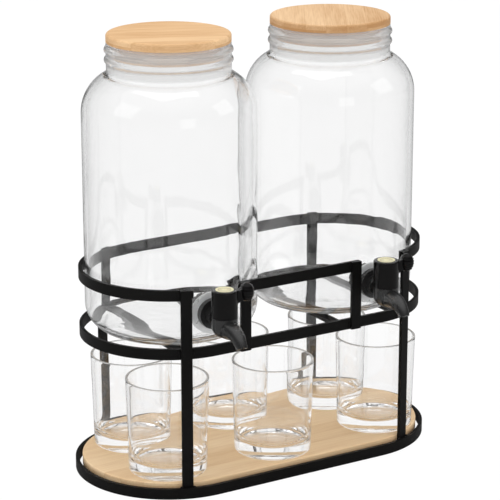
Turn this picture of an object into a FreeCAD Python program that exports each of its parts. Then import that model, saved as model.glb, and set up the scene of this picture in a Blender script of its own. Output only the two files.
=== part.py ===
import FreeCAD, Part
import math
import os
import re

import Sketcher

"""Drink dispenser: two glass jars with taps in a flat-bar stand, over a board with six tumblers.

The stand is made of flat steel bar. Two long rounded rings and a guard rail share one plan: two half
circles joined by straight sides. X runs along the stand, the taps face -Y and Z points up. The origin
is the middle of the stand on the surface that it stands on. All sizes are in millimetres.
"""

os.makedirs("parts", exist_ok=True)
doc = FreeCAD.newDocument("dispenser")

SIZES = [
    # Flat steel bar
    ("bar_width", 10.0),
    ("bar_thickness", 3.0),
    # Plan of the stand: two jar stations side by side
    ("jar_play", 1.0),
    ("station_gap", 20.4),
    ("leg_angle", 70.5),
    ("post_inset", 29.8),
    # Heights of the stand
    ("shelf_height", 129.5),
    ("guard_height", 183.5),
    ("shelf_bar_drop", 5.0),
    ("shelf_bar_inner", 47.0),
    ("shelf_bar_outer", 113.5),
    # Board under the tumblers
    ("board_thickness", 10.5),
    ("board_play", 0.3),
    ("board_edge", 1.2),
    ("board_bar_offset", 80.0),
    # Glass jar
    ("jar_radius", 78.5),
    ("jar_wall", 4.0),
    ("jar_floor", 6.0),
    ("jar_corner", 25.0),
    ("jar_inner_corner", 13.0),
    ("jar_body_height", 200.0),
    ("shoulder_rise", 35.5),
    ("neck_radius", 55.5),
    ("neck_height", 28.0),
    ("neck_wall", 4.5),
    ("neck_lip", 1.5),
    ("bead_radius", 2.5),
    ("bead_half", 2.4),
    ("bead_pitch", 9.0),
    ("bead_drop", 7.0),
    ("jar_left_shift", 1.7),
    ("jar_right_shift", 5.2),
    ("jar_angle", 3.5),
    # Wooden lid
    ("lid_thickness", 7.5),
    ("lid_edge", 2.5),
    ("plug_depth", 15.0),
    ("plug_play", 2.8),
    ("seal_height", 7.0),
    ("seal_body", 2.0),
    ("seal_fin", 0.9),
    ("seal_squeeze_gap", 0.3),
    # Tap
    ("tap_height", 35.2),
    ("shank_radius", 8.0),
    ("shank_bore", 3.5),
    ("shank_play", 0.6),
    ("thread_play", 0.08),
    ("washer_radius", 18.8),
    ("washer_thickness", 2.2),
    ("washer_gap", 0.1),
    ("inner_washer_radius", 15.5),
    ("flange_radius", 13.5),
    ("flange_thickness", 5.0),
    ("collar_radius", 9.0),
    ("link_radius", 5.7),
    ("nut_radius", 14.0),
    ("nut_thickness", 8.0),
    ("nut_notch", 1.6),
    ("shank_spare", 3.0),
    ("valve_reach", 27.0),
    ("housing_radius", 11.6),
    ("housing_depth", 15.5),
    ("housing_rise", 3.1),
    ("spout_run", 14.5),
    ("spout_bend", 20.0),
    ("spout_angle", 62.0),
    ("spout_root_radius", 8.8),
    ("spout_tip_radius", 4.9),
    ("spout_wall", 1.5),
    ("hub_height", 24.5),
    ("hub_edge", 1.2),
    ("stem_radius", 6.2),
    ("stem_depth", 11.0),
    ("stem_play", 0.07),
    ("port_radius", 3.0),
    ("valve_gap", 0.3),
    ("badge_radius", 8.0),
    ("badge_thickness", 1.2),
    ("badge_seat", 0.8),
    ("arm_length", 19.0),
    ("arm_thickness", 5.0),
    ("paddle_reach", 21.8),
    ("paddle_height", 22.8),
    ("paddle_long", 8.6),
    ("paddle_wide", 6.4),
    ("paddle_deep", 6.0),
    ("ring_seal_size", 0.8),
    # Tumblers
    ("tumbler_play", 0.25),
    ("tumbler_exit_play", 0.4),
    ("tumbler_leg_play", 0.7),
    ("tumbler_height", 87.5),
    ("tumbler_taper", 2.2),
    ("tumbler_wall", 2.2),
    ("tumbler_floor", 10.0),
    ("tumbler_heel", 2.4),
    ("tumbler_rest", 2.0),
    ("tumbler_punt", 1.4),
    ("tumbler_stagger", 5.0),
    ("tumbler_front_middle_x", -6.0),
    ("tumbler_front_middle_y", 45.0),
    ("tumbler_back_middle_y", 43.0),
]

# What follows from the sizes above: each alias with the expression that gives it.
DERIVED = [
    ("station", "jar_radius + station_gap / 2"),
    ("post_offset", "station - post_inset"),
    ("ring_inner", "jar_radius + jar_play"),
    ("ring_outer", "ring_inner + bar_thickness"),
    ("leg_outer", "ring_outer + bar_thickness"),
    ("base_inner", "sqrt(leg_outer ^ 2 + (bar_width / 2) ^ 2)"),
    ("base_outer", "base_inner + bar_thickness"),
    ("shelf_floor", "shelf_height + shelf_bar_drop"),
    ("shelf_bar_bottom", "shelf_floor - bar_thickness"),
    ("frame_top", "guard_height + bar_width"),
    ("board_top", "bar_thickness + board_thickness"),
    ("board_radius", "ring_outer - board_play"),
    ("leg_side_x", "station + ring_outer * cos(leg_angle * 1deg) - bar_width / 2 * sin(leg_angle * 1deg)"),
    ("leg_end_y", "ring_outer * sin(leg_angle * 1deg) - bar_width / 2 * cos(leg_angle * 1deg)"),
    ("jar_bore", "jar_radius - jar_wall"),
    ("neck_bore", "neck_radius - neck_wall"),
    ("neck_foot", "jar_body_height + shoulder_rise"),
    ("jar_height", "neck_foot + neck_height"),
    ("shoulder_step", "jar_radius - neck_radius"),
    ("shoulder", "(shoulder_step ^ 2 + shoulder_rise ^ 2) / (2 * shoulder_step)"),
    ("inner_rise", "sqrt((shoulder - jar_wall) ^ 2 - (neck_bore - jar_radius + shoulder) ^ 2)"),
    ("jar_left_x", "-station + jar_left_shift"),
    ("jar_right_x", "station - jar_right_shift"),
    ("plug_radius", "neck_bore - plug_play"),
    ("washer_face", "jar_radius + washer_gap + washer_thickness"),
    ("flange_face", "washer_face + washer_gap + flange_thickness"),
    ("valve_axis", "jar_radius + valve_reach"),
    ("nut_face", "sqrt((jar_bore - washer_gap) ^ 2 - inner_washer_radius ^ 2) - washer_thickness"),
    ("shank_end", "nut_face - nut_thickness - shank_spare"),
    ("collar_end", "valve_axis - housing_radius - valve_gap"),
    ("link_drop", "link_radius + valve_gap - housing_rise"),
    ("spout_drop", "spout_root_radius + valve_gap - housing_rise"),
    ("housing_corner", "0.7 * housing_depth"),
    ("hub_bottom", "housing_rise + valve_gap"),
    ("hub_top", "hub_bottom + hub_height"),
    ("badge_floor", "hub_top - badge_seat"),
    ("badge_rim", "0.8 * badge_radius"),
    ("badge_dish", "0.75 * badge_radius"),
    ("badge_face", "badge_floor + 0.75 * badge_thickness"),
    ("arm_root_low", "hub_top - 0.65 * hub_height"),
    ("arm_root_high", "hub_top - 0.15 * hub_height"),
    ("arm_tip_half", "0.2 * hub_height"),
    ("tumbler_radius", "leg_end_y / 2 - tumbler_play"),
    ("tumbler_foot", "tumbler_radius - tumbler_taper"),
    ("tumbler_hollow", "tumbler_foot - tumbler_heel - tumbler_rest"),
    ("tumbler_dome", "(tumbler_hollow ^ 2 + tumbler_punt ^ 2) / (2 * tumbler_punt)"),
    ("tumbler_front_y", "leg_end_y - tumbler_exit_play - tumbler_radius"),
    ("tumbler_back_y", "tumbler_radius + 2 * tumbler_exit_play"),
    ("tumbler_front_x", "station + (ring_outer - tumbler_radius - tumbler_leg_play"
                        " - tumbler_front_y * sin(leg_angle * 1deg)) / cos(leg_angle * 1deg)"),
    ("tumbler_back_x", "tumbler_front_x - tumbler_stagger"),
]

sheet = doc.addObject("Spreadsheet::Sheet", "Sizes")
for row, (alias, value) in enumerate(SIZES + DERIVED, start=1):
    sheet.set(f"A{row}", alias)
    sheet.set(f"B{row}", f"={value}" if isinstance(value, str) else str(value))
    sheet.setAlias(f"B{row}", alias)
doc.recompute()

ALIASES = [alias for alias, _ in SIZES + DERIVED]
WORD = re.compile(r"[a-z_]+")
SPOUT_STEPS = 4
NUT_NOTCHES = 12
SEAL_FINS = 3
TOUCHING = 0.01
PARTS = []


def sized(expression):
    """The expression with each size's alias pointing at the sheet."""
    return WORD.sub(lambda word: f"Sizes.{word[0]}" if word[0] in ALIASES else word[0], expression)


def number(expression):
    """The value of an expression on the sizes, in millimetres."""
    return float(sheet.evalExpression(sized(expression)))


def bind(thing, **expressions):
    """Tie properties of a feature to expressions on the sizes."""
    for name, expression in expressions.items():
        thing.setExpression(name, sized(expression))
    return thing


def place(piece, x="0", y="0", z="0", turn=None):
    """Put a finished piece where its expressions say, turned about Z, and keep it for the parts folder."""
    if turn is not None:
        piece.Placement.Rotation = FreeCAD.Rotation(FreeCAD.Vector(0, 0, 1), number(turn))
        piece.setExpression("Placement.Rotation.Angle", sized(turn))
    for axis, expression in zip("xyz", (x, y, z)):
        piece.setExpression(f"Placement.Base.{axis}", sized(expression))
    PARTS.append(piece)
    return piece


def new_body(name):
    """An empty body whose label names its file."""
    body = doc.addObject("PartDesign::Body", name)
    body.Label = name
    return body


def attach(feature, body, plane, offset="0"):
    """Lay a feature on one of the body's own planes, moved along that plane's normal."""
    support = next(f for f in body.Origin.OriginFeatures if f.Role == plane)
    feature.AttachmentSupport = [(support, "")]
    feature.MapMode = "FlatFace"
    feature.setExpression("AttachmentOffset.Base.z", sized(offset))
    return feature


def new_sketch(body, plane, offset="0"):
    """A sketch on one of the body's own planes."""
    return attach(body.newObject("Sketcher::SketchObject", "Outline"), body, plane, offset)


def measure(sketch, kind, position, expression):
    """Hold one coordinate of a point, or a radius, at the value of an expression."""
    if kind == "Radius":
        index = sketch.addConstraint(Sketcher.Constraint(kind, position[0], number(expression)))
    elif expression == "0":
        axis = -2 if kind == "DistanceX" else -1
        sketch.addConstraint(Sketcher.Constraint("PointOnObject", *position, axis))
        return
    else:
        index = sketch.addConstraint(Sketcher.Constraint(kind, -1, 1, *position, number(expression)))
    sketch.setExpression(f"Constraints[{index}]", sized(expression))


def pin(sketch, geometry, point, corner):
    """Hold a point of the sketch at a pair of expressions."""
    measure(sketch, "DistanceX", (geometry, point), corner[0])
    measure(sketch, "DistanceY", (geometry, point), corner[1])


def arc_between(start, end, radius, side):
    """The shorter arc from start to end, with its centre on the left (side 1) or right (side -1)."""
    chord = end - start
    middle = (start + end) / 2
    reach = math.sqrt(max(radius ** 2 - chord.Length ** 2 / 4, 0.0))
    left = FreeCAD.Vector(-chord.y, chord.x, 0).normalize()
    centre = middle + left * reach * side
    first, last = (start, end) if side > 0 else (end, start)
    angles = [math.atan2(p.y - centre.y, p.x - centre.x) for p in (first, last)]
    if angles[1] < angles[0]:
        angles[1] += 2 * math.pi
    return Part.ArcOfCircle(Part.Circle(centre, FreeCAD.Vector(0, 0, 1), radius), *angles)


def outline(sketch, corners, arcs=None):
    """A closed outline through corners that are pairs of expressions.

    arcs maps the number of a side to its radius and to the side its centre is on: 1 left, -1 right.
    """
    arcs = arcs or {}
    points = [FreeCAD.Vector(number(x), number(y), 0) for x, y in corners]
    ends = []
    for side, start in enumerate(points):
        end = points[(side + 1) % len(points)]
        if side in arcs:
            radius, hand = arcs[side]
            geometry = sketch.addGeometry(arc_between(start, end, number(radius), hand))
            measure(sketch, "Radius", (geometry,), radius)
            ends.append((geometry, 1, 2) if hand > 0 else (geometry, 2, 1))
        else:
            ends.append((sketch.addGeometry(Part.LineSegment(start, end)), 1, 2))
    for side, (geometry, first, _) in enumerate(ends):
        before, _, last = ends[side - 1]
        sketch.addConstraint(Sketcher.Constraint("Coincident", before, last, geometry, first))
        pin(sketch, geometry, first, corners[side])
    return sketch


def circle(sketch, radius, x="0", y="0"):
    """A circle whose centre and radius are expressions."""
    centre = FreeCAD.Vector(number(x), number(y), 0)
    geometry = sketch.addGeometry(Part.Circle(centre, FreeCAD.Vector(0, 0, 1), number(radius)))
    measure(sketch, "Radius", (geometry,), radius)
    pin(sketch, geometry, 3, (x, y))
    return sketch


def half_circle(sketch, radius, end, first_angle):
    """One rounded end of the stand's plan, centred on a station; end is its sign along X."""
    centre = FreeCAD.Vector(number(f"{end}station"), 0, 0)
    whole = Part.Circle(centre, FreeCAD.Vector(0, 0, 1), number(radius))
    arc = sketch.addGeometry(Part.ArcOfCircle(whole, first_angle, first_angle + math.pi))
    start = "-" if first_angle < 0 else ""
    pin(sketch, arc, 3, (f"{end}station", "0"))
    pin(sketch, arc, 1, (f"{end}station", f"{start}({radius})"))
    sketch.addConstraint(Sketcher.Constraint("Vertical", arc, 3, arc, 2))
    return arc


def stadium(sketch, radius):
    """The plan of the stand: half circles about both stations, joined by straight sides."""
    right = half_circle(sketch, radius, "", -math.pi / 2)
    left = half_circle(sketch, radius, "-", math.pi / 2)
    half = number("station")
    reach = number(radius)
    for before, after, side in ((right, left, 1), (left, right, -1)):
        start = FreeCAD.Vector(half * side, reach * side, 0)
        line = sketch.addGeometry(Part.LineSegment(start, FreeCAD.Vector(-start.x, start.y, 0)))
        sketch.addConstraint(Sketcher.Constraint("Coincident", before, 2, line, 1))
        sketch.addConstraint(Sketcher.Constraint("Coincident", line, 2, after, 1))
    return sketch


def pad(body, sketch, length, both_ways=False):
    """Raise a sketch into a solid along its normal."""
    feature = body.newObject("PartDesign::Pad", "Pad")
    feature.Profile = sketch
    feature.Midplane = both_ways
    return bind(feature, Length=length)


def pocket(body, sketch, length, both_ways=False, reverse=False):
    """Cut a sketch out of the solid against its normal."""
    feature = body.newObject("PartDesign::Pocket", "Pocket")
    feature.Profile = sketch
    feature.Midplane = both_ways
    feature.Reversed = reverse
    return bind(feature, Length=length)


def revolve(body, sketch):
    """Turn a profile once round the sketch's upright axis."""
    feature = body.newObject("PartDesign::Revolution", "Turned")
    feature.Profile = sketch
    feature.ReferenceAxis = (sketch, ["V_Axis"])
    feature.Angle = 360
    return feature


def turned(name, corners, arcs=None, offset="0"):
    """A body turned from one profile in the XZ plane, about its upright axis."""
    body = new_body(name)
    revolve(body, outline(new_sketch(body, "XZ_Plane", offset), corners, arcs))
    return body


def ring(name, outer, inner, height):
    """A flat bar bent on edge into the closed plan of the stand."""
    body = new_body(name)
    sketch = stadium(new_sketch(body, "XY_Plane"), outer)
    pad(body, stadium(sketch, inner), "bar_width")
    return place(body, z=height)


def strip(name, length, width, height, x, y, z, turn=None):
    """A straight piece of flat bar from its low corner."""
    box = doc.addObject("Part::Box", name)
    box.Label = name
    bind(box, Length=length, Width=width, Height=height)
    return place(box, x, y, z, turn)


def build_rings():
    """The base ring, the shelf ring and the guard rail, which is open in front of the taps."""
    ring("base_ring", "base_outer", "base_inner", "0")
    ring("shelf_ring", "ring_outer", "ring_inner", "shelf_height")
    rail = ring("guard_rail_back", "ring_outer", "ring_inner", "guard_height")
    opening = [("-leg_side_x", "-ring_outer - bar_thickness"), ("leg_side_x", "-ring_outer - bar_thickness"),
               ("leg_side_x", "0"), ("-leg_side_x", "0")]
    cut = pocket(rail, outline(new_sketch(rail, "XY_Plane"), opening), "2 * bar_width", both_ways=True)
    cut.Refine = True
    strip("guard_rail_front", "2 * post_offset + bar_width", "bar_thickness", "bar_width",
          "-post_offset - bar_width / 2", "-ring_outer", "guard_height")


def build_uprights():
    """Four legs welded outside the upper rings and inside the base ring, and two posts at the taps."""
    for front, row in ((True, "front"), (False, "back")):
        for x_sign, hand in (("-", "left"), ("", "right")):
            y_sign = "-" if front else ""
            other = "" if x_sign else "-"
            # The strip's length lies along the ring and its thickness points outwards.
            along_x, along_y = f"{y_sign}sin(leg_angle * 1deg)", f"{other}cos(leg_angle * 1deg)"
            turn = f"{other}(90deg {'+' if front else '-'} leg_angle * 1deg)"
            x = f"{x_sign}(station + ring_outer * cos(leg_angle * 1deg)) - bar_width / 2 * ({along_x})"
            y = f"{y_sign}ring_outer * sin(leg_angle * 1deg) - bar_width / 2 * ({along_y})"
            strip(f"leg_{row}_{hand}", "bar_width", "bar_thickness", "frame_top", x, y, "0", turn)
    for sign, hand in (("-", "left"), ("", "right")):
        strip(f"tap_post_{hand}", "bar_width", "bar_thickness", "frame_top - shelf_height",
              f"{sign}post_offset - bar_width / 2", "-leg_outer", "shelf_height")


def build_bars():
    """Flat bars across the shelf, under the jars, and across the base, under the board."""
    inside = new_body("shelf_inside")
    pad(inside, stadium(new_sketch(inside, "XY_Plane"), "ring_inner"), "frame_top")
    places = (("left_outer", "-shelf_bar_outer"), ("left_inner", "-shelf_bar_inner"),
              ("right_inner", "shelf_bar_inner"), ("right_outer", "shelf_bar_outer"))
    for name, x in places:
        blank = doc.addObject("Part::Box", f"blank_{name}")
        bind(blank, Length="bar_width", Width="2 * ring_inner", Height="bar_thickness")
        blank.setExpression("Placement.Base.x", sized(f"{x} - bar_width / 2"))
        blank.setExpression("Placement.Base.y", sized("-ring_inner"))
        blank.setExpression("Placement.Base.z", sized("shelf_bar_bottom"))
        bar = doc.addObject("Part::Common", f"jar_bar_{name}")
        bar.Label = bar.Name
        bar.Base = blank
        bar.Tool = inside
        PARTS.append(bar)
    for name, x in (("left", "-board_bar_offset"), ("middle", "0"), ("right", "board_bar_offset")):
        strip(f"board_bar_{name}", "bar_width", "2 * base_inner", "bar_thickness",
              f"{x} - bar_width / 2", "-base_inner", "0")


def build_board():
    """The wooden board that the tumblers stand on, eased round its upper edge."""
    body = new_body("tray_board")
    slab = pad(body, stadium(new_sketch(body, "XY_Plane"), "board_radius"), "board_thickness")
    place(body, z="bar_thickness")
    doc.recompute()
    top = number("board_thickness")
    rim = [f"Edge{i}" for i, edge in enumerate(slab.Shape.Edges, start=1)
           if min(v.Z for v in edge.Vertexes) > top - TOUCHING]
    eased = body.newObject("PartDesign::Fillet", "Eased")
    eased.Base = (slab, rim)
    bind(eased, Radius="board_edge")


def stand_on_shelf(piece, hand, height):
    """Put a jar's piece on the shelf with its tap turned a little, at a height above the jar's foot."""
    return place(piece, x=f"jar_{hand}_x", z=f"shelf_floor + {height}", turn="-jar_angle * 1deg")


def build_jar(hand):
    """One blown jar: thick floor, straight body, round shoulder and a beaded neck."""
    beads = [f"jar_height - bead_drop - {count} * bead_pitch" for count in (1, 0)]
    outside = [("0", "0"), ("jar_radius - jar_corner", "0"), ("jar_radius", "jar_corner"),
               ("jar_radius", "jar_body_height"), ("neck_radius", "neck_foot")]
    arcs = {1: ("jar_corner", 1), 3: ("shoulder", 1)}
    for bead in beads:
        arcs[len(outside)] = ("bead_radius", 1)
        outside += [("neck_radius", f"{bead} - bead_half"), ("neck_radius", f"{bead} + bead_half")]
    arcs[len(outside)] = ("neck_lip", 1)
    lip = [("neck_radius", "jar_height - neck_lip"), ("neck_radius - neck_lip", "jar_height"),
           ("neck_bore + neck_lip", "jar_height"), ("neck_bore", "jar_height - neck_lip")]
    arcs[len(outside) + 2] = ("neck_lip", 1)
    profile = outside + lip
    arcs[len(profile)] = ("shoulder - jar_wall", -1)
    arcs[len(profile) + 2] = ("jar_inner_corner", -1)
    profile += [("neck_bore", "jar_body_height + inner_rise"), ("jar_bore", "jar_body_height"),
                ("jar_bore", "jar_floor + jar_inner_corner"),
                ("jar_bore - jar_inner_corner", "jar_floor"), ("0", "jar_floor")]
    body = turned(f"jar_{hand}", profile, arcs)
    hole = circle(new_sketch(body, "XZ_Plane"), "shank_radius + shank_play", "0", "tap_height")
    pocket(body, hole, "2 * jar_radius", reverse=True)
    stand_on_shelf(body, hand, "0")


def build_lid(hand):
    """A wooden lid: the disc on the neck's rim, the plug below it and the finned seal round the plug."""
    disc = turned(f"lid_disc_{hand}", [
        ("0", "0"), ("neck_radius", "0"), ("neck_radius", "lid_thickness - lid_edge"),
        ("neck_radius - lid_edge", "lid_thickness"), ("0", "lid_thickness")], {2: ("lid_edge", 1)})
    groove_low = "-(plug_depth + seal_height) / 2"
    groove_high = "-(plug_depth - seal_height) / 2"
    groove = "plug_radius - seal_body"
    plug = turned(f"lid_plug_{hand}", [
        ("0", "-plug_depth"), ("plug_radius - seal_fin", "-plug_depth"),
        ("plug_radius", "-plug_depth + seal_fin"), ("plug_radius", groove_low), (groove, groove_low),
        (groove, groove_high), ("plug_radius", groove_high), ("plug_radius", "0"), ("0", "0")])
    reach = "neck_bore - seal_squeeze_gap"
    profile = [(groove, groove_low), ("plug_radius", groove_low)]
    pitch = f"(seal_height - {SEAL_FINS} * seal_fin) / {SEAL_FINS - 1}"
    for fin in range(SEAL_FINS):
        foot = f"{groove_low} + seal_fin + {fin} * {pitch}"
        profile += [("plug_radius", foot), (reach, foot), (reach, f"{foot} + seal_fin / 2"),
                    ("plug_radius", f"{foot} + seal_fin")]
    profile += [("plug_radius", groove_high), (groove, groove_high)]
    seal = turned(f"lid_seal_{hand}", profile)
    for piece in (disc, plug, seal):
        stand_on_shelf(piece, hand, "jar_height")


def washer(name, radius, near, far):
    """A soft washer with its hole, cut along the tap's axis from near to far."""
    body = new_body(name)
    disc = circle(new_sketch(body, "XZ_Plane", near), radius)
    pad(body, circle(disc, "shank_radius + thread_play"), f"{far} - ({near})")
    return body


def build_washers(hand):
    """The outer washer follows the jar's curve; the inner one is curved against the jar, flat at the nut."""
    outer = washer(f"tap_washer_outer_{hand}", "washer_radius", "jar_bore", "washer_face + jar_wall")
    within = circle(new_sketch(outer, "XY_Plane"), "jar_radius + washer_gap")
    pocket(outer, within, "jar_height", both_ways=True)
    beyond = circle(new_sketch(outer, "XY_Plane"), "washer_face")
    pocket(outer, circle(beyond, "washer_face + jar_wall * 4"), "jar_height", both_ways=True)
    inner = washer(f"tap_washer_inner_{hand}", "inner_washer_radius", "nut_face", "jar_radius")
    beyond = circle(new_sketch(inner, "XY_Plane"), "jar_bore - washer_gap")
    pocket(inner, circle(beyond, "jar_radius + jar_wall"), "jar_height", both_ways=True)
    for piece in (outer, inner):
        stand_on_shelf(piece, hand, "tap_height")


def build_nut(hand):
    """The plastic nut inside the jar, with finger notches round its rim."""
    body = new_body(f"tap_nut_{hand}")
    face = new_sketch(body, "XZ_Plane", "nut_face - nut_thickness")
    pad(body, circle(circle(face, "nut_radius"), "shank_radius + thread_play"), "nut_thickness")
    notch = new_sketch(body, "XZ_Plane", "nut_face - nut_thickness")
    circle(notch, "nut_notch", "nut_radius + nut_notch / 2")
    cut = pocket(body, notch, "nut_thickness", reverse=True)
    notches = body.newObject("PartDesign::PolarPattern", "Notches")
    notches.Originals = [cut]
    notches.Axis = (notch, ["N_Axis"])
    notches.Angle = 360
    notches.Occurrences = NUT_NOTCHES
    body.Tip = notches
    stand_on_shelf(body, hand, "tap_height")


def spout(body, kind, root_radius, tip_radius):
    """A tapered spout, added or taken away: circles along a straight run and the bend that follows it."""
    sections = []
    for step in range(SPOUT_STEPS + 1):
        turn = f"(spout_angle * 1deg * {max(step - 1, 0)} / {SPOUT_STEPS - 1})"
        run = "-stem_radius / 4" if step == 0 else "spout_run"
        sketch = new_sketch(body, "XZ_Plane", f"valve_axis + {run} + spout_bend * sin({turn})")
        sketch.AttachmentOffset = FreeCAD.Placement(
            FreeCAD.Vector(), FreeCAD.Rotation(FreeCAD.Vector(1, 0, 0), number(turn)))
        sketch.setExpression("AttachmentOffset.Rotation.Angle", sized(turn))
        drop = sized(f"-spout_drop - spout_bend * (1 - cos({turn}))")
        sketch.setExpression("AttachmentOffset.Base.y", drop)
        share = f"{step} / {SPOUT_STEPS}"
        sections.append(circle(sketch, f"({root_radius}) * (1 - {share}) + ({tip_radius}) * {share}"))
    loft = body.newObject(f"PartDesign::{kind}", "Spout")
    loft.Profile = sections[0]
    loft.Sections = [(section, [""]) for section in sections[1:]]
    return loft


def build_tap(hand):
    """The tap's fixed body: shank, flange saddled to the washer, valve housing and tapered spout."""
    body = new_body(f"tap_body_{hand}")
    flange = circle(new_sketch(body, "XZ_Plane", "washer_face - washer_thickness"), "flange_radius")
    pad(body, flange, "flange_face - washer_face + washer_thickness")
    saddle = circle(new_sketch(body, "XY_Plane"), "washer_face + washer_gap")
    pocket(body, saddle, "jar_radius", both_ways=True)
    shank = circle(new_sketch(body, "XZ_Plane", "shank_end"), "shank_radius")
    pad(body, shank, "flange_face - shank_end")
    collar = circle(new_sketch(body, "XZ_Plane", "washer_face + 2 * washer_gap"), "collar_radius")
    pad(body, collar, "collar_end - washer_face - 2 * washer_gap")
    link = circle(new_sketch(body, "XZ_Plane", "flange_face"), "link_radius", "0", "-link_drop")
    pad(body, link, "valve_axis - flange_face")
    housing = outline(new_sketch(body, "XZ_Plane", "valve_axis"), [
        ("0", "-housing_depth"), ("housing_radius - housing_corner", "-housing_depth"),
        ("housing_radius", "housing_corner - housing_depth"), ("housing_radius", "housing_rise"),
        ("0", "housing_rise")], {1: ("housing_corner", 1)})
    revolve(body, housing)
    spout(body, "AdditiveLoft", "spout_root_radius", "spout_tip_radius")
    passage = circle(new_sketch(body, "XZ_Plane", "shank_end"), "shank_bore", "0", "-link_drop")
    pocket(body, passage, "valve_axis - stem_radius / 2 - shank_end", reverse=True)
    spout(body, "SubtractiveLoft", "shank_bore", "spout_tip_radius - spout_wall")
    well = new_sketch(body, "XY_Plane", "housing_rise")
    circle(well, "stem_radius + stem_play", "0", "-valve_axis")
    pocket(body, well, "housing_rise + stem_depth + valve_gap")
    stand_on_shelf(body, hand, "tap_height")


def build_lever(hand):
    """The turning part of the tap: hub, plug with its cross bore, arm and flared finger paddle."""
    body = new_body(f"tap_lever_{hand}")
    ring_low = "housing_rise - 5 * ring_seal_size"
    ring_high = "housing_rise - 3 * ring_seal_size + 2 * stem_play"
    groove = "stem_radius - 2 * ring_seal_size"
    hub = outline(new_sketch(body, "XZ_Plane", "valve_axis"), [
        ("0", "-stem_depth"), ("stem_radius", "-stem_depth"), ("stem_radius", ring_low), (groove, ring_low),
        (groove, ring_high), ("stem_radius", ring_high), ("stem_radius", "hub_bottom"),
        ("housing_radius", "hub_bottom"), ("housing_radius", "hub_top - hub_edge"),
        ("housing_radius - hub_edge", "hub_top"), ("badge_radius + stem_play", "hub_top"),
        ("badge_radius + stem_play", "badge_floor"), ("0", "badge_floor")],
        {8: ("hub_edge", 1)})
    revolve(body, hub)
    arm = outline(new_sketch(body, "XZ_Plane", "valve_axis"), [
        ("badge_radius", "arm_root_low"), ("arm_length", "paddle_height - arm_tip_half"),
        ("arm_length", "paddle_height + arm_tip_half"), ("badge_radius", "arm_root_high")])
    pad(body, arm, "arm_thickness", both_ways=True)
    paddle = body.newObject("PartDesign::AdditiveEllipsoid", "Paddle")
    attach(paddle, body, "XY_Plane", "paddle_height")
    paddle.setExpression("AttachmentOffset.Base.x", sized("paddle_reach"))
    paddle.setExpression("AttachmentOffset.Base.y", sized("-valve_axis"))
    bind(paddle, Radius1="paddle_long", Radius2="paddle_wide", Radius3="paddle_deep")
    port = circle(new_sketch(body, "YZ_Plane"), "port_radius", "-valve_axis", f"{ring_low} - shank_bore")
    pocket(body, port, "3 * stem_radius", both_ways=True)
    stand_on_shelf(body, hand, "tap_height")

    badge = turned(f"tap_badge_{hand}", [
        ("0", "badge_floor"), ("badge_radius", "badge_floor"),
        ("badge_radius", "badge_floor + badge_thickness"), ("badge_rim", "badge_floor + badge_thickness"),
        ("badge_dish", "badge_face"), ("0", "badge_face")], offset="valve_axis")
    seal = new_body(f"tap_seal_{hand}")
    cord = circle(new_sketch(seal, "XZ_Plane", "valve_axis"), "ring_seal_size",
                  "stem_radius - ring_seal_size", f"({ring_low} + {ring_high}) / 2")
    revolve(seal, cord)
    for piece in (badge, seal):
        stand_on_shelf(piece, hand, "tap_height")


def build_tumblers():
    """Six tumblers: thick floor hollowed underneath, and a thin wall that widens a little to the rim."""
    places = {
        "tumbler_front_left": ("-tumbler_front_x", "-tumbler_front_y"),
        "tumbler_front_middle": ("tumbler_front_middle_x", "-tumbler_front_middle_y"),
        "tumbler_front_right": ("tumbler_front_x", "-tumbler_front_y"),
        "tumbler_back_left": ("-tumbler_back_x", "tumbler_back_y"),
        "tumbler_back_middle": ("0", "tumbler_back_middle_y"),
        "tumbler_back_right": ("tumbler_back_x", "tumbler_back_y"),
    }
    slope = "tumbler_taper / tumbler_height"
    for name, (x, y) in places.items():
        tumbler = turned(name, [
            ("0", "tumbler_punt"), ("tumbler_hollow", "0"), ("tumbler_foot - tumbler_heel", "0"),
            ("tumbler_foot", "tumbler_heel"), ("tumbler_radius", "tumbler_height"),
            ("tumbler_radius - tumbler_wall", "tumbler_height"),
            (f"tumbler_foot - tumbler_wall + 2 * tumbler_floor * {slope}", "2 * tumbler_floor"),
            ("tumbler_foot - tumbler_wall - tumbler_floor", "tumbler_floor"), ("0", "tumbler_floor")],
            {0: ("tumbler_dome", -1), 2: ("tumbler_heel", 1), 6: ("tumbler_floor", -1)})
        place(tumbler, x, y, "board_top")


build_rings()
build_uprights()
build_bars()
build_board()
for side_name in ("left", "right"):
    build_jar(side_name)
    build_lid(side_name)
    build_washers(side_name)
    build_nut(side_name)
    build_tap(side_name)
    build_lever(side_name)
build_tumblers()

doc.recompute()
for thing in doc.Objects:
    if "Invalid" in thing.State or "Error" in thing.State:
        raise RuntimeError(f"{thing.Label} did not build: {thing.State}")
for piece in PARTS:
    if piece.Shape.isNull() or not piece.Shape.isValid() or len(piece.Shape.Solids) != 1:
        raise RuntimeError(f"{piece.Label} is not one sound solid")
    piece.Shape.exportStep(f"parts/{piece.Label}.step")
print(len(PARTS), "pieces written")
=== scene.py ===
"""Drink dispenser with two glass jars: its looks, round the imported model. In metres, taps face -Y, Z up."""
import math

import bpy
import numpy as np
from mathutils import Matrix, Vector


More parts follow.
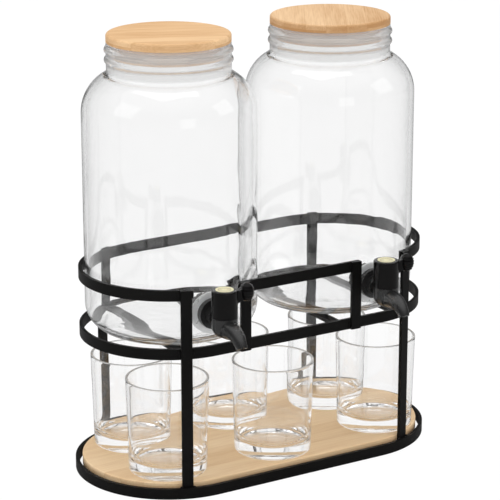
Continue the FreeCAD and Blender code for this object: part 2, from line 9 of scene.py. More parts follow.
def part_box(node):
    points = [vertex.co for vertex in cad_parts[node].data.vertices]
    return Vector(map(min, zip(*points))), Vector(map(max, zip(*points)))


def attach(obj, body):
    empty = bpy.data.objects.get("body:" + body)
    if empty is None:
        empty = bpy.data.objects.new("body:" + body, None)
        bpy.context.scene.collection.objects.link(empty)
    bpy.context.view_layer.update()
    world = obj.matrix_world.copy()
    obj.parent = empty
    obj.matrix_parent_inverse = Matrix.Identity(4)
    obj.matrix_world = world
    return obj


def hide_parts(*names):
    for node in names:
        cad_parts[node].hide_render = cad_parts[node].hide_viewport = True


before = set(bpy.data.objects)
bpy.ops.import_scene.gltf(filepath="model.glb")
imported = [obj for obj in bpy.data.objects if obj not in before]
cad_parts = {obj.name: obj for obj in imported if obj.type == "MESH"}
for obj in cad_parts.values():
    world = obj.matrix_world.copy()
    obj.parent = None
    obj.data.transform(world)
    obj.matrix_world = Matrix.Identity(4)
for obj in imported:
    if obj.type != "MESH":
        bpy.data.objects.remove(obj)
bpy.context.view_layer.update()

# Sizes and places of the pieces are in millimetres. MM brings them to metres as a mesh is made.
MM = 0.001
HANDS = ("left", "right")
TUMBLERS = [f"{row}_{side}" for row in ("front", "back") for side in ("left", "middle", "right")]

# Jars
JAR_PLACE = {"left": (-87.0, 0.0, 134.5), "right": (83.5, 0.0, 134.5)}
JAR_RADIUS, JAR_WALL, JAR_BODY, JAR_HEIGHT = 78.5, 4.0, 200.0, 263.5
JAR_HEEL, JAR_FLOOR, JAR_FLOOR_ROUND = 25.0, 6.0, 13.0
NECK_RADIUS, NECK_BORE, NECK_FOOT, LIP = 55.5, 51.0, 235.5, 1.5
NECK_BEAD_DROPS, NECK_BEAD_HALF, NECK_BEAD_RADIUS = (16.0, 7.0), 2.4, 2.5
SHOULDER_ACROSS, SHOULDER_UP = JAR_RADIUS - NECK_RADIUS, NECK_FOOT - JAR_BODY
SHOULDER = (SHOULDER_ACROSS ** 2 + SHOULDER_UP ** 2) / (2 * SHOULDER_ACROSS)

# Taps
TAP_TURN, TAP_HEIGHT, TAP_HOLE_RADIUS = math.radians(-3.5), 35.2, 8.6
TAP_HOLE_START, TAP_HOLE_END = -100.0, -60.0
PADDLE_PLACE, PADDLE_HALF_HEIGHT = (21.8, -105.5, TAP_HEIGHT + 22.8), 8.6
RIB_HALF_WIDTH, RIB_HALF_DEPTH, RIB_RADIUS, RIB_SPAN, RIB_COUNT = 6.4, 6.0, 0.5, 5.8, 6
BADGE_TICKS = 20

# Tumblers
TUMBLER_RADIUS, TUMBLER_FOOT, TUMBLER_HEIGHT, TUMBLER_WALL, TUMBLER_FLOOR = 37.8, 35.6, 87.5, 2.2, 10.0
TUMBLER_HEEL, TUMBLER_REST, TUMBLER_HOLLOW, RIM_ROUND = 2.4, 2.0, 1.4, 0.6

# Stand: the middles of its half circles, its outer radius, its tap posts, its legs and the welds on them
STATION, RING_OUTER, POST_OFFSET, LEG_ANGLE = 88.7, 82.5, 58.9, math.radians(70.5)
UPPER_JOINTS, JOINT_LIFT, WELD_OFFSET, UPPER_WELD = (134.5, 188.5), 0.6, 5.6, (1.5, 1.3, 3.4)
FOOT_HEIGHT, FOOT_OUT, FOOT_WELD = 9.8, 3.1, (1.7, 1.3, 1.2)

# Stage, in metres. The shine values are what the paint and the glass reflect, level and from above.
FLOOR_HALF, FLOOR_GLOW, FLOOR_SEEN, FLOOR_SHINE = 6.0, 1.04, 0.92, 0.7
PLAIN_LIGHT, SHINE_LIGHT, SHINE_ABOVE = 0.66, 0.09, 0.9
SHINE_FROM, SHINE_TO = 0.35, 0.9
LAMPS = (
    ("lamp_left", (-2.3, 0.2, 1.5), (0, 0, 0.2), 1.4, 10),
    ("lamp_right", (1.8, -1.3, 1.3), (0, 0, 0.2), 1.2, 7),
    ("lamp_front", (-0.3, -2.3, 0.5), (0, 0, 0.1), 0.9, 4),
    ("lamp_top", (0.0, 0.2, 2.4), (0, 0, 0.2), 1.6, 18),
)
CAMERA_PLACE, CAMERA_AIM = (-1.01768, -1.65162, 0.76578), (-0.002093, 0.001286, 0.192487)
CAMERA_LENS = 157.21


class Term:
    """A shader value. Its operators add the Math node that works them out."""

    def __init__(self, nodes, socket):
        self.nodes = nodes
        self.socket = socket

    def maths(self, operation, first, second=0.0):
        return Term(self.nodes, self.nodes.node("ShaderNodeMath", {"operation": operation},
                                                {0: first, 1: second}).outputs[0])

    def __add__(self, other):
        return self.maths("ADD", self, other)

    def __sub__(self, other):
        return self.maths("SUBTRACT", self, other)

    def __rsub__(self, other):
        return self.maths("SUBTRACT", other, self)

    def __mul__(self, other):
        return self.maths("MULTIPLY", self, other)

    def __truediv__(self, other):
        return self.maths("DIVIDE", self, other)

    def __pow__(self, other):
        return self.maths("POWER", self, other)

    __radd__ = __add__
    __rmul__ = __mul__

    def at_least(self, other):
        return self.maths("MAXIMUM", self, other)

    def at_most(self, other):
        return self.maths("MINIMUM", self, other)

    def floor(self):
        return self.maths("FLOOR", self)

    def to_and_fro(self, top):
        """Rises to top and falls back to 0, over and over."""
        return self.maths("PINGPONG", self, top)

    def angle(self, across):
        """The angle whose tangent is this value over across."""
        return self.maths("ARCTAN2", self, across)

    def step(self, low, high):
        """0 below low, 1 above high, smooth between."""
        node = self.nodes.node("ShaderNodeMapRange", {"interpolation_type": "SMOOTHSTEP"},
                               {"Value": self, "From Min": low, "From Max": high})
        return Term(self.nodes, node.outputs[0])


class Nodes:
    """The nodes of a material or of the world, and the one way in which they are added."""

    def __init__(self, holder, output):
        holder.use_nodes = True
        self.tree = holder.node_tree
        self.tree.nodes.clear()
        self.output = self.tree.nodes.new(output)

    def node(self, kind, settings=None, values=None):
        """Add a node: its settings first, then the numbers, colours or links of its sockets."""
        made = self.tree.nodes.new(kind)
        for key, value in (settings or {}).items():
            setattr(made, key, value)
        for key, value in (values or {}).items():
            socket = made.inputs[key]
            if isinstance(value, Term):
                value = value.socket
            if isinstance(value, bpy.types.NodeSocket):
                self.tree.links.new(value, socket)
            else:
                socket.default_value = value
        return made

    def axes(self, where):
        """The x, y and z of a vector."""
        split = self.node("ShaderNodeSeparateXYZ", None, {0: where})
        return [Term(self, socket) for socket in split.outputs]

    def either_ray(self, first, second):
        """1 for a ray of either kind, 0 for the others."""
        rays = self.node("ShaderNodeLightPath").outputs
        return Term(self, rays[first]).at_least(Term(self, rays[second]))

    def mixed(self, share, first, second):
        """A shader between two, by a share from 0 to 1."""
        return self.node("ShaderNodeMixShader", None, {0: share, 1: first, 2: second}).outputs[0]

    def show(self, shader):
        self.tree.links.new(shader, self.output.inputs["Surface"])


class Finish(Nodes):
    """One finish of the object: a material and its nodes."""

    def __init__(self, name):
        self.material = bpy.data.materials.new(name)
        super().__init__(self.material, "ShaderNodeOutputMaterial")

    def mapped(self, where, key, value):
        """A vector shifted, turned or scaled: key is Location, Rotation or Scale."""
        made = self.node("ShaderNodeMapping", {"vector_type": "POINT"}, {"Vector": where, key: value})
        return made.outputs[0]

    def place(self, scale=(1, 1, 1), turn=(0, 0, 0), shift=(0, 0, 0)):
        """The point on the object, in metres, shifted, turned and scaled."""
        where = self.node("ShaderNodeTexCoord").outputs["Object"]
        for key, value in (("Location", shift), ("Rotation", turn), ("Scale", scale)):
            where = self.mapped(where, key, value)
        return where

    def vector(self, x, y, z):
        return self.node("ShaderNodeCombineXYZ", None, {0: x, 1: y, 2: z}).outputs[0]

    def noise(self, where, scale, detail=2.0, roughness=0.5, distortion=0.0):
        made = self.node("ShaderNodeTexNoise", None, {"Vector": where, "Scale": scale, "Detail": detail,
                                                      "Roughness": roughness, "Distortion": distortion})
        return Term(self, made.outputs[0])

    def blend(self, share, first, second):
        """A colour between two, by a share from 0 to 1."""
        return self.node("ShaderNodeMix", {"data_type": "RGBA"}, {0: share, 6: first, 7: second}).outputs[2]

    def bump(self, height, distance, strength=1.0):
        return self.node("ShaderNodeBump", None,
                         {"Height": height, "Distance": distance, "Strength": strength}).outputs[0]

    def principled(self, values):
        return self.node("ShaderNodeBsdfPrincipled", None, values).outputs[0]


def grey(value):
    return (value, value, value, 1)


def linear(*srgb):
    """The scene colour of an 8-bit display colour."""
    parts = [c / 255 for c in srgb]
    return (*[p / 12.92 if p <= 0.04045 else ((p + 0.055) / 1.055) ** 2.4 for p in parts], 1)


def lighter(tone, by):
    """The scene colour of an 8-bit display colour, made lighter by so many steps."""
    return linear(*[c + by for c in tone])


def painted_bar():
    """Black satin paint: fine orange peel, faint dust and slightly rubbed patches."""
    paint = Finish("painted_bar")
    where = paint.place()
    peel = paint.noise(where, 900, 3)
    cloud = paint.noise(where, 14, 4, 0.6)
    speck = paint.noise(where, 420, 2).step(0.66, 0.74)
    tone = paint.blend(cloud.step(0.35, 0.7), linear(10, 9, 8), linear(18, 17, 16))
    tone = paint.blend(speck * 0.3, tone, linear(46, 46, 46))
    paint.show(paint.principled({
        "Base Color": tone, "Roughness": cloud * 0.18 + 0.36, "Specular IOR Level": 0.2,
        "Normal": paint.bump(peel, 0.00006, 0.5)}))
    return paint


def bamboo(name, turn, shift, light, dark, side_shade_share=0.0, strip_width=0.0186, layer_height=0.0052):
    """Bamboo laid in glued strips: each strip its own tone, fine fibre along it and darker nodes across.
    Its sides that face level are painted darker as painted shade, by side_shade_share."""
    wood = Finish(name)
    along = wood.place(turn=(0, 0, turn), shift=shift)
    y, z = wood.axes(along)[1:]
    key = wood.vector((y / strip_width).floor() * 7.31, (z / layer_height).floor() * 3.17, 0.37)
    tone = Term(wood, wood.node("ShaderNodeTexWhiteNoise", {"noise_dimensions": "3D"}, {0: key}).outputs[0])
    offset = wood.vector(tone * 3.0, 0.0, tone)
    own = wood.node("ShaderNodeVectorMath", {"operation": "ADD"}, {0: along, 1: offset}).outputs[0]
    fibre = wood.noise(wood.mapped(own, "Scale", (6, 210, 210)), 4.6, 4, 0.62)
    streak = wood.noise(wood.mapped(own, "Scale", (5, 36, 36)), 1.6, 3, 0.55, 0.4)
    knuckle = wood.noise(wood.mapped(own, "Scale", (16, 1.5, 1.5)), 1.0, 1).step(0.70, 0.76)
    seam = 1 - (y / strip_width).to_and_fro(0.5).step(0.0, 0.03)
    # Painted shade: faces turned away from straight up are made darker, by side_shade_share.
    upward = wood.axes(wood.node("ShaderNodeTexCoord").outputs["Normal"])[2]
    side = (1 - upward * upward) * side_shade_share
    grain = (tone - 0.5) * 0.42 + (fibre - 0.5) * 1.1 + (streak - 0.5) * 1.0
    share = grain + knuckle * 0.22 + seam * 0.16 + side + 0.42
    wood.show(wood.principled({
        "Base Color": wood.blend(share.at_least(0).at_most(1), light, dark),
        "Roughness": fibre * 0.2 + 0.45, "Specular IOR Level": 0.25,
        "Normal": wood.bump(fibre * 0.7 - seam * 0.5, 0.00012, 0.5)}))
    return wood


def clear_glass(name, ripple, ripple_size, rim_height, rim_highlight_share, density, edge_shade_share):
    """Clear glass with slow waves from blowing, greyer where it is thick, painted grey as shade where it is
    seen edge-on, and with a painted pale highlight above rim_height, over its fire-rounded rim. It throws no
    hard shadow."""
    glass = Finish(name)
    where = glass.place(scale=(1, 1, 0.6))
    waves = glass.noise(where, ripple_size, 2, 0.5, 0.6)
    wisp = glass.noise(where, 60, 3)
    # Painted shade: the colour turns grey where the surface is seen edge-on, by edge_shade_share.
    facing = Term(glass, glass.node("ShaderNodeLayerWeight", None, {"Blend": 0.5}).outputs["Facing"])
    clean = glass.blend(wisp, linear(253, 253, 253), linear(255, 255, 255))
    body = glass.principled({
        "Base Color": glass.blend(facing ** 4.6 * edge_shade_share, clean, linear(104, 106, 108)),
        "Roughness": 0.0, "IOR": 1.47, "Transmission Weight": 1.0, "Normal": glass.bump(waves, ripple, 1.0)})
    # Painted highlight: an opaque pale grey mixed in above rim_height, by rim_highlight_share.
    pale = glass.principled({"Base Color": glass.blend(wisp, linear(214, 215, 215), linear(232, 232, 231)),
                             "Roughness": 0.2})
    height = glass.axes(glass.place())[2]
    rim = height.step(rim_height - 0.0004, rim_height + 0.0004) * rim_highlight_share
    unseen = glass.either_ray("Is Shadow Ray", "Is Diffuse Ray")
    clear = glass.node("ShaderNodeBsdfTransparent", None, {"Color": grey(0.97)}).outputs[0]
    glass.show(glass.mixed(unseen, glass.mixed(rim, body, pale), clear))
    depth = glass.node("ShaderNodeVolumeAbsorption", None,
                       {"Color": (0.2, 0.22, 0.22, 1), "Density": density}).outputs[0]
    glass.tree.links.new(depth, glass.output.inputs["Volume"])
    return glass


def silicone(name, see_through, roughness, tone):
    """Soft silicone: partly see-through, satin, with a faint moulded cloud."""
    rubber = Finish(name)
    cloud = rubber.noise(rubber.place(), 160, 3)
    rubber.show(rubber.principled({
        "Base Color": rubber.blend(cloud, linear(*tone), lighter(tone, 12)),
        "Roughness": cloud * 0.1 + roughness, "Transmission Weight": see_through, "IOR": 1.3,
        "Normal": rubber.bump(cloud, 0.00004, 0.6)}))
    return rubber


def glossy_black(name, roughness, tone, shine):
    """Glossy moulded plastic: near black, with soft flow marks that only show in its shine."""
    plastic = Finish(name)
    flow = plastic.noise(plastic.place(scale=(1, 1, 0.35)), 90, 3, 0.55, 0.8)
    fine = plastic.noise(plastic.place(), 1500, 2)
    plastic.show(plastic.principled({
        "Base Color": plastic.blend(flow, linear(*tone), lighter(tone, 9)),
        "Roughness": flow * 0.14 + roughness, "Specular IOR Level": shine,
        "Normal": plastic.bump(fine, 0.00001, 0.4)}))
    return plastic


def gold_foil(name, centre):
    """Pale gold foil on the tap's cap: brushed, with a plain ring of short ticks near its edge and a thin
    line inside it."""
    foil = Finish(name)
    where = foil.place(shift=(-centre[0], -centre[1], 0))
    cloud = foil.noise(where, 500, 3)
    x, y = foil.axes(where)[:2]
    radius = (x * x + y * y) ** 0.5
    tick = (y.angle(x) * (BADGE_TICKS / (2 * math.pi))).to_and_fro(0.5).step(0.16, 0.22)
    ring = radius.step(0.0045, 0.0047) * (1 - radius.step(0.0057, 0.0059)) * tick
    line = radius.step(0.0030, 0.0031) * (1 - radius.step(0.0034, 0.0035))
    marks = ring.at_least(line)
    pale = foil.blend(cloud, linear(238, 229, 180), linear(252, 249, 216))
    foil.show(foil.principled({
        "Base Color": foil.blend(marks * 0.75, pale, linear(120, 104, 58)), "Metallic": 0.3,
        "Roughness": cloud * 0.16 + 0.32, "Normal": foil.bump(cloud * 0.3 - marks, 0.00006, 0.5)}))
    return foil


bar_paint = painted_bar()
lid_wood = {
    "left": bamboo("lid_bamboo_left", turn=math.radians(24), shift=(0.0, 0.003, 0.0),
                   light=linear(246, 207, 160), dark=linear(198, 146, 92)),
    # The right lid's sides are painted darker as painted shade.
    "right": bamboo("lid_bamboo_right", turn=math.radians(-58), shift=(0.01, 0.0, 0.0),
                    light=linear(245, 208, 164), dark=linear(196, 147, 97), side_shade_share=0.45),
}
board_wood = bamboo("board_bamboo", turn=0.0, shift=(0.0, 0.0, 0.0), light=linear(255, 226, 185),
                    dark=linear(222, 180, 131))
# Both glasses get painted edge shade and a painted pale highlight above rim_height: the jars' necks, the
# tumblers' rims.
jar_glass = clear_glass("jar_glass", ripple=0.0006, ripple_size=18, rim_height=0.3715,
                        rim_highlight_share=0.3, density=3.4, edge_shade_share=0.95)
tumbler_glass = clear_glass("tumbler_glass", ripple=0.0002, ripple_size=30, rim_height=0.1002,
                            rim_highlight_share=0.6, density=0.8, edge_shade_share=0.35)
lid_silicone = silicone("lid_silicone", see_through=0.3, roughness=0.3, tone=(230, 208, 188))
washer_silicone = silicone("washer_silicone", see_through=0.45, roughness=0.24, tone=(238, 239, 239))
tap_plastic = glossy_black("tap_plastic", roughness=0.2, tone=(30, 30, 30), shine=0.9)
lever_plastic = glossy_black("lever_plastic", roughness=0.14, tone=(4, 3, 3), shine=0.3)


def middle(node):
    """The middle of one of the model's own pieces, in metres."""
    low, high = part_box(node)
    return tuple((low + high) / 2)


def wear(node, finish):
    """Put a finish on one of the model's own pieces."""
    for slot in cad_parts[node].material_slots:
        slot.material = finish.material


def dress_model():
    """Put the finishes on all the model's own pieces."""
    bars = ("base_ring", "shelf_ring", "guard_rail", "leg_", "tap_post", "jar_bar", "board_bar")
    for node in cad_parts:
        if node.startswith(bars):
            wear(node, bar_paint)
    wear("tray_board", board_wood)
    for hand in HANDS:
        wear(f"jar_{hand}", jar_glass)
        wear(f"lid_disc_{hand}", lid_wood[hand])
        wear(f"lid_plug_{hand}", lid_wood[hand])
        wear(f"lid_seal_{hand}", lid_silicone)
        for part in ("tap_washer_outer", "tap_washer_inner", "tap_seal"):
            wear(f"{part}_{hand}", washer_silicone)
        wear(f"tap_nut_{hand}", tap_plastic)
        wear(f"tap_body_{hand}", tap_plastic)
        wear(f"tap_lever_{hand}", lever_plastic)
        wear(f"tap_badge_{hand}", gold_foil(f"gold_foil_{hand}", middle(f"tap_badge_{hand}")))
    for name in TUMBLERS:
        wear(f"tumbler_{name}", tumbler_glass)


def arc(start, end, radius, side, count):
    """Points of the short arc from start to end. Its centre is sqrt(radius^2 - half chord^2) off the
    chord's middle, to the left (1) or right (-1) of the way there."""
    start, end = np.array(start, float), np.array(end, float)
    half = np.linalg.norm(end - start) / 2
    left = np.array([start[1] - end[1], end[0] - start[0]]) / (2 * half)
    centre = (start + end) / 2 + left * side * math.sqrt(max(radius ** 2 - half ** 2, 0))
    first = math.atan2(start[1] - centre[1], start[0] - centre[0])
    last = math.atan2(end[1] - centre[1], end[0] - centre[0])
    sweep = (last - first + math.pi) % (2 * math.pi) - math.pi
    angles = first + sweep * np.linspace(0, 1, count + 1)
    return centre + radius * np.stack([np.cos(angles), np.sin(angles)], 1)


def profile(corners, arcs, step):
    """(radius, height) points along the corners, evenly spaced on each side and at most a step apart. A
    side named in arcs is round: its radius, and 1 or -1 for the side of its centre."""
    points = []
    for index, (start, end) in enumerate(zip(corners, corners[1:])):
        count = max(1, math.ceil(math.dist(start, end) / step))
        if index in arcs:
            radius, side = arcs[index]
            points.append(arc(start, end, radius, side, max(6, count))[:-1])
        else:
            share = np.linspace(0, 1, count + 1)[:-1, None]
            points.append(np.array(start) * (1 - share) + np.array(end) * share)
    points.append(np.array([corners[-1]]))
    return np.concatenate(points)


def solid_mesh(name, points, quads, triangles=()):
    """A smooth-shaded mesh from arrays of points, quads and triangles."""
    mesh = bpy.data.meshes.new(name)
    faces = np.asarray(quads).reshape(-1, 4).tolist() + np.asarray(triangles, int).reshape(-1, 3).tolist()
    mesh.from_pydata(np.asarray(points).tolist(), [], faces)
    mesh.shade_smooth()
    mesh.update()
    piece = bpy.data.objects.new(name, mesh)
    bpy.context.scene.collection.objects.link(piece)
    return piece


def turned(name, rim, centre, segments):
    """A closed turned form. Point (i, j) is at radius r_i and height z_i of the profile, at angle
    2 pi j / segments. The profile starts and ends on the axis, where its points close to a single pole."""
    angles = 2 * np.pi * np.arange(segments) / segments
    inner = rim[1:-1] * MM
    across = inner[:, :1] * np.cos(angles)
    along = inner[:, :1] * np.sin(angles)
    up = np.repeat(inner[:, 1:], segments, axis=1)
    points = np.stack([across, along, up], 2).reshape(-1, 3)
    poles = np.array([[0, 0, rim[0, 1] * MM], [0, 0, rim[-1, 1] * MM]])
    points = np.concatenate([points, poles]) + np.array(centre) * MM
    grid = np.arange(len(inner) * segments).reshape(len(inner), segments)
    ahead = np.roll(grid, -1, axis=1)
    quads = np.stack([grid[:-1], ahead[:-1], ahead[1:], grid[1:]], 2)
    low, high = len(points) - 2, len(points) - 1
    bottom = np.stack([np.full(segments, low), ahead[0], grid[0]], 1)
    top = np.stack([np.full(segments, high), grid[-1], ahead[-1]], 1)
    return solid_mesh(name, points, quads, np.concatenate([bottom, top]))


def dress(piece, finish, body, node=None):
    """Give a piece its finish and the body it moves with, and hide the model's node that it stands for."""
    piece.data.materials.append(finish.material)
    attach(piece, body)
    if node:
        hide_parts(node)


def jar_profile():
    """The jar's section: thick floor, straight wall, round shoulder and a neck with two beads. The shoulder
    is an arc that runs on from the wall, with radius (across^2 + up^2) / (2 across). Inside, the same arc is
    one wall smaller and meets the bore where its height is sqrt(inner^2 - (bore - arc centre)^2)."""
    corners = [(0, 0), (JAR_RADIUS - JAR_HEEL, 0), (JAR_RADIUS, JAR_HEEL), (JAR_RADIUS, JAR_BODY),
               (NECK_RADIUS, NECK_FOOT)]
    arcs = {1: (JAR_HEEL, 1), 3: (SHOULDER, 1)}
    for drop in NECK_BEAD_DROPS:
        bead = JAR_HEIGHT - drop
        arcs[len(corners)] = (NECK_BEAD_RADIUS, 1)
        corners += [(NECK_RADIUS, bead - NECK_BEAD_HALF), (NECK_RADIUS, bead + NECK_BEAD_HALF)]
    arcs[len(corners)] = (LIP, 1)
    arcs[len(corners) + 2] = (LIP, 1)
    corners += [(NECK_RADIUS, JAR_HEIGHT - LIP), (NECK_RADIUS - LIP, JAR_HEIGHT),
                (NECK_BORE + LIP, JAR_HEIGHT), (NECK_BORE, JAR_HEIGHT - LIP)]
    inner = SHOULDER - JAR_WALL
    inner_foot = JAR_BODY + math.sqrt(inner ** 2 - (NECK_BORE - JAR_RADIUS + SHOULDER) ** 2)
    arcs[len(corners)] = (inner, -1)
    arcs[len(corners) + 2] = (JAR_FLOOR_ROUND, -1)
    bore = JAR_RADIUS - JAR_WALL
    corners += [(NECK_BORE, inner_foot), (bore, JAR_BODY), (bore, JAR_FLOOR + JAR_FLOOR_ROUND),
                (bore - JAR_FLOOR_ROUND, JAR_FLOOR), (0, JAR_FLOOR)]
    return profile(corners, arcs, step=4.0)


def blow_jar(hand):
    """A jar's glass, turned from its section, with its tap hole drilled through the wall."""
    jar = turned(f"jar_glass_{hand}", jar_profile(), JAR_PLACE[hand], segments=192)
    drill_rim = np.array([(0, TAP_HOLE_START), (TAP_HOLE_RADIUS, TAP_HOLE_START),
                          (TAP_HOLE_RADIUS, TAP_HOLE_END), (0, TAP_HOLE_END)])
    drill = turned("drill", drill_rim, (0, 0, 0), segments=48)
    hole = Vector(JAR_PLACE[hand]) * MM + Vector((0, 0, TAP_HEIGHT * MM))
    drill.data.transform(Matrix.Translation(hole) @ Matrix.Rotation(TAP_TURN, 4, "Z")
                         @ Matrix.Rotation(math.radians(-90), 4, "X"))
    cut = jar.modifiers.new("tap_hole", "BOOLEAN")
    cut.object = drill
    cut.operation = "DIFFERENCE"
    cut.solver = "EXACT"
    bpy.context.view_layer.update()
    holed = bpy.data.meshes.new_from_object(jar.evaluated_get(bpy.context.evaluated_depsgraph_get()))
    jar.modifiers.clear()
    jar.data = holed
    holed.materials.clear()
    bpy.data.objects.remove(drill)
    dress(jar, jar_glass, f"jar_{hand}_set", f"jar_{hand}")


def press_tumbler(name):
    """A tumbler: thick floor, thin wall a little wider at the rim, and a fire-rounded rim. The hollow under
    it is an arc with radius (across^2 + up^2) / (2 up)."""
    node = f"tumbler_{name}"
    low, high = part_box(node)
    foot = ((low.x + high.x) / 2 / MM, (low.y + high.y) / 2 / MM, low.z / MM)
    slope = (TUMBLER_RADIUS - TUMBLER_FOOT) / TUMBLER_HEIGHT
    rim = TUMBLER_RADIUS - slope * RIM_ROUND
    hollow = TUMBLER_FOOT - TUMBLER_HEEL - TUMBLER_REST
    dome = (hollow ** 2 + TUMBLER_HOLLOW ** 2) / (2 * TUMBLER_HOLLOW)
    inside = rim - TUMBLER_WALL
    floor_edge = TUMBLER_FOOT - TUMBLER_WALL
    corners = [(0, TUMBLER_HOLLOW), (hollow, 0), (TUMBLER_FOOT - TUMBLER_HEEL, 0),
               (TUMBLER_FOOT, TUMBLER_HEEL), (rim, TUMBLER_HEIGHT - RIM_ROUND),
               (rim - RIM_ROUND, TUMBLER_HEIGHT), (inside + RIM_ROUND, TUMBLER_HEIGHT),
               (inside, TUMBLER_HEIGHT - RIM_ROUND),
               (floor_edge + 2 * TUMBLER_FLOOR * slope, 2 * TUMBLER_FLOOR),
               (floor_edge - TUMBLER_FLOOR, TUMBLER_FLOOR), (0, TUMBLER_FLOOR)]
    arcs = {0: (dome, -1), 2: (TUMBLER_HEEL, 1), 4: (RIM_ROUND, 1), 6: (RIM_ROUND, 1),
            8: (TUMBLER_FLOOR, -1)}
    tumbler = turned(f"tumbler_glass_{name}", profile(corners, arcs, step=3.0), foot, segments=128)
    dress(tumbler, tumbler_glass, node, node)


def weld_beads(name, places):
    """Weld beads: each an ellipsoid with radius 1 + 0.12 sin(5 u) sin(3 v) ripples, longer along the joint.
    A place is (point, outward direction, half sizes across, outward and along). All the beads make one
    mesh."""
    rows, columns = 10, 14
    v = np.linspace(0, np.pi, rows + 1)[1:-1, None]
    u = 2 * np.pi * np.arange(columns)[None, :] / columns
    ripple = 1 + 0.12 * np.sin(5 * u) * np.sin(3 * v)
    ball = np.stack([np.sin(v) * np.cos(u) * ripple, np.sin(v) * np.sin(u) * ripple,
                     np.cos(v) * ripple], 2).reshape(-1, 3)
    ball = np.concatenate([ball, [[0, 0, 1], [0, 0, -1]]])
    grid = np.arange((rows - 1) * columns).reshape(rows - 1, columns)
    ahead = np.roll(grid, -1, axis=1)
    quads = np.stack([grid[:-1], grid[1:], ahead[1:], ahead[:-1]], 2).reshape(-1, 4)
    first, last = len(ball) - 2, len(ball) - 1
    caps = np.concatenate([np.stack([np.full(columns, first), grid[0], ahead[0]], 1),
                           np.stack([np.full(columns, last), ahead[-1], grid[-1]], 1)])
    points, all_quads, all_caps = [], [], []
    for count, (point, outward, sizes) in enumerate(places):
        out = np.array([*outward, 0.0])
        across = np.array([-out[1], out[0], 0.0])
        shape = ball * np.array(sizes)
        shape = shape[:, :1] * across + shape[:, 1:2] * out + shape[:, 2:] * [0, 0, 1]
        points.append(np.array(point) + shape)
        all_quads.append(quads + count * len(ball))
        all_caps.append(caps + count * len(ball))
    beads = solid_mesh(name, np.concatenate(points) * MM, np.concatenate(all_quads),
                       np.concatenate(all_caps))
    dress(beads, bar_paint, "stand")


def uprights():
    """(x, y, outward x, outward y) of the middle of each leg's and tap post's joint face."""
    found = []
    for side in (-1, 1):
        for row in (-1, 1):
            out = (side * math.cos(LEG_ANGLE), row * math.sin(LEG_ANGLE))
            found.append((side * STATION + RING_OUTER * out[0], RING_OUTER * out[1], *out))
        found.append((side * POST_OFFSET, -RING_OUTER, 0.0, -1.0))
    return found


def weld_stand():
    """Weld beads on both sides of each upright where the rings cross it, and at the foot of each leg."""
    places = []
    for x, y, out_x, out_y in uprights():
        for side in (-WELD_OFFSET, WELD_OFFSET):
            edge_x, edge_y = x - out_y * side, y + out_x * side
            for height in UPPER_JOINTS:
                places.append(((edge_x, edge_y, height + JOINT_LIFT), (out_x, out_y), UPPER_WELD))
            if abs(out_x) > 0:
                foot = (edge_x + FOOT_OUT * out_x, edge_y + FOOT_OUT * out_y, FOOT_HEIGHT)
                places.append((foot, (out_x, out_y), FOOT_WELD))
    weld_beads("stand_welds", places)


def paddle_ribs(hand):
    """Finger ribs round the paddle. A rib runs round an ellipse that shrinks with its height z on the paddle
    as sqrt(1 - (z / half height)^2), and its section is a small circle."""
    loops, sides = 40, 8
    t = 2 * np.pi * np.arange(loops)[:, None] / loops
    s = 2 * np.pi * np.arange(sides)[None, :] / sides
    swell = RIB_RADIUS * np.cos(s)
    points, quads = [], []
    for count, height in enumerate(np.linspace(-RIB_SPAN, RIB_SPAN, RIB_COUNT)):
        girth = math.sqrt(1 - (height / PADDLE_HALF_HEIGHT) ** 2)
        up = np.broadcast_to(height + RIB_RADIUS * np.sin(s), (loops, sides))
        wide = (RIB_HALF_WIDTH * girth + swell) * np.cos(t)
        deep = (RIB_HALF_DEPTH * girth + swell) * np.sin(t)
        grid = np.arange(loops * sides).reshape(loops, sides) + count * loops * sides
        ahead = np.roll(grid, -1, axis=0)
        corners = [grid, ahead, np.roll(ahead, -1, axis=1), np.roll(grid, -1, axis=1)]
        quads.append(np.stack(corners, 2).reshape(-1, 4))
        points.append(np.stack([wide, deep, up], 2).reshape(-1, 3))
    place = np.concatenate(points) + PADDLE_PLACE
    cosine, sine = math.cos(TAP_TURN), math.sin(TAP_TURN)
    turn = np.array([[cosine, -sine, 0], [sine, cosine, 0], [0, 0, 1]])
    ribs = solid_mesh(f"paddle_ribs_{hand}", (place @ turn.T + JAR_PLACE[hand]) * MM, np.concatenate(quads))
    dress(ribs, lever_plastic, f"tap_valve_{hand}")


def build_floor():
    """A white floor that keeps the object's soft shadow, and is dim where paint and glass reflect it."""
    half = FLOOR_HALF
    mesh = bpy.data.meshes.new("floor")
    corners = [(-half, -half, 0), (half, -half, 0), (half, half, 0), (-half, half, 0)]
    mesh.from_pydata(corners, [], [(0, 1, 2, 3)])
    floor = bpy.data.objects.new("floor", mesh)
    bpy.context.scene.collection.objects.link(floor)
    cover = Finish("floor_white")
    matte = cover.node("ShaderNodeBsdfDiffuse", None, {"Color": grey(0.9)}).outputs[0]
    glow = cover.node("ShaderNodeEmission", None, {"Color": grey(1.0), "Strength": FLOOR_GLOW}).outputs[0]
    dim = cover.node("ShaderNodeEmission", None, {"Color": grey(SHINE_LIGHT), "Strength": 1.0}).outputs[0]
    seen = cover.either_ray("Is Camera Ray", "Is Transmission Ray")
    shiny = Term(cover, cover.node("ShaderNodeLightPath").outputs["Is Glossy Ray"])
    cover.show(cover.mixed(seen * FLOOR_SEEN, cover.mixed(shiny * FLOOR_SHINE, matte, dim), glow))
    mesh.materials.append(cover.material)


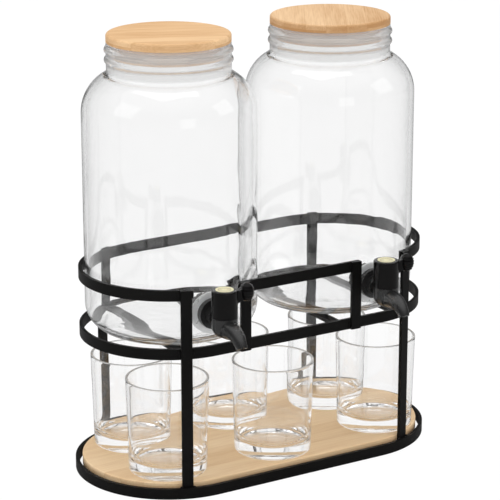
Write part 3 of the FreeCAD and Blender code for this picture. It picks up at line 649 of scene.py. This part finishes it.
def build_world():
    """A white studio all round. Paint and glass reflect it dim when level and brighter from above."""
    world = bpy.data.worlds.new("studio")
    bpy.context.scene.world = world
    studio = Nodes(world, "ShaderNodeOutputWorld")
    height = studio.axes(studio.node("ShaderNodeTexCoord").outputs["Generated"])[2]
    above = studio.node("ShaderNodeMapRange", {"interpolation_type": "SMOOTHSTEP"}, {
        "Value": height, "From Min": SHINE_FROM, "From Max": SHINE_TO, "To Min": SHINE_LIGHT,
        "To Max": SHINE_ABOVE}).outputs[0]
    plain, shine, white = [
        studio.node("ShaderNodeBackground", None, {"Color": grey(1.0), "Strength": strength}).outputs[0]
        for strength in (PLAIN_LIGHT, above, 1.0)]
    glossy = studio.node("ShaderNodeLightPath").outputs["Is Glossy Ray"]
    seen = studio.either_ray("Is Camera Ray", "Is Transmission Ray")
    studio.show(studio.mixed(seen, studio.mixed(glossy, plain, shine), white))


def soft_lamp(name, place, aim, size, watts):
    """A square soft box at a place, turned towards a point."""
    lamp = bpy.data.lights.new(name, "AREA")
    lamp.size = size
    lamp.energy = watts
    box = bpy.data.objects.new(name, lamp)
    box.location = place
    box.rotation_euler = (Vector(aim) - Vector(place)).to_track_quat("-Z", "Y").to_euler()
    box.visible_glossy = False
    bpy.context.scene.collection.objects.link(box)


def build_camera():
    """The photograph's camera: about 2 m away, turned 31.6 degrees to the left of the taps."""
    camera = bpy.data.cameras.new("camera")
    camera.sensor_width = 36
    camera.lens = CAMERA_LENS
    camera.clip_end = 50
    holder = bpy.data.objects.new("camera", camera)
    holder.location = CAMERA_PLACE
    holder.rotation_euler = (Vector(CAMERA_AIM) - holder.location).to_track_quat("-Z", "Y").to_euler()
    bpy.context.scene.collection.objects.link(holder)
    bpy.context.scene.camera = holder


dress_model()
for hand in HANDS:
    blow_jar(hand)
for name in TUMBLERS:
    press_tumbler(name)
weld_stand()
for hand in HANDS:
    paddle_ribs(hand)

build_floor()
build_world()
for lamp in LAMPS:
    soft_lamp(*lamp)
build_camera()
bpy.context.scene.view_settings.view_transform = "Standard"
bpy.context.scene.cycles.max_bounces = 32
bpy.context.scene.cycles.transmission_bounces = 32
bpy.context.scene.cycles.glossy_bounces = 16
bpy.context.scene.cycles.transparent_max_bounces = 24
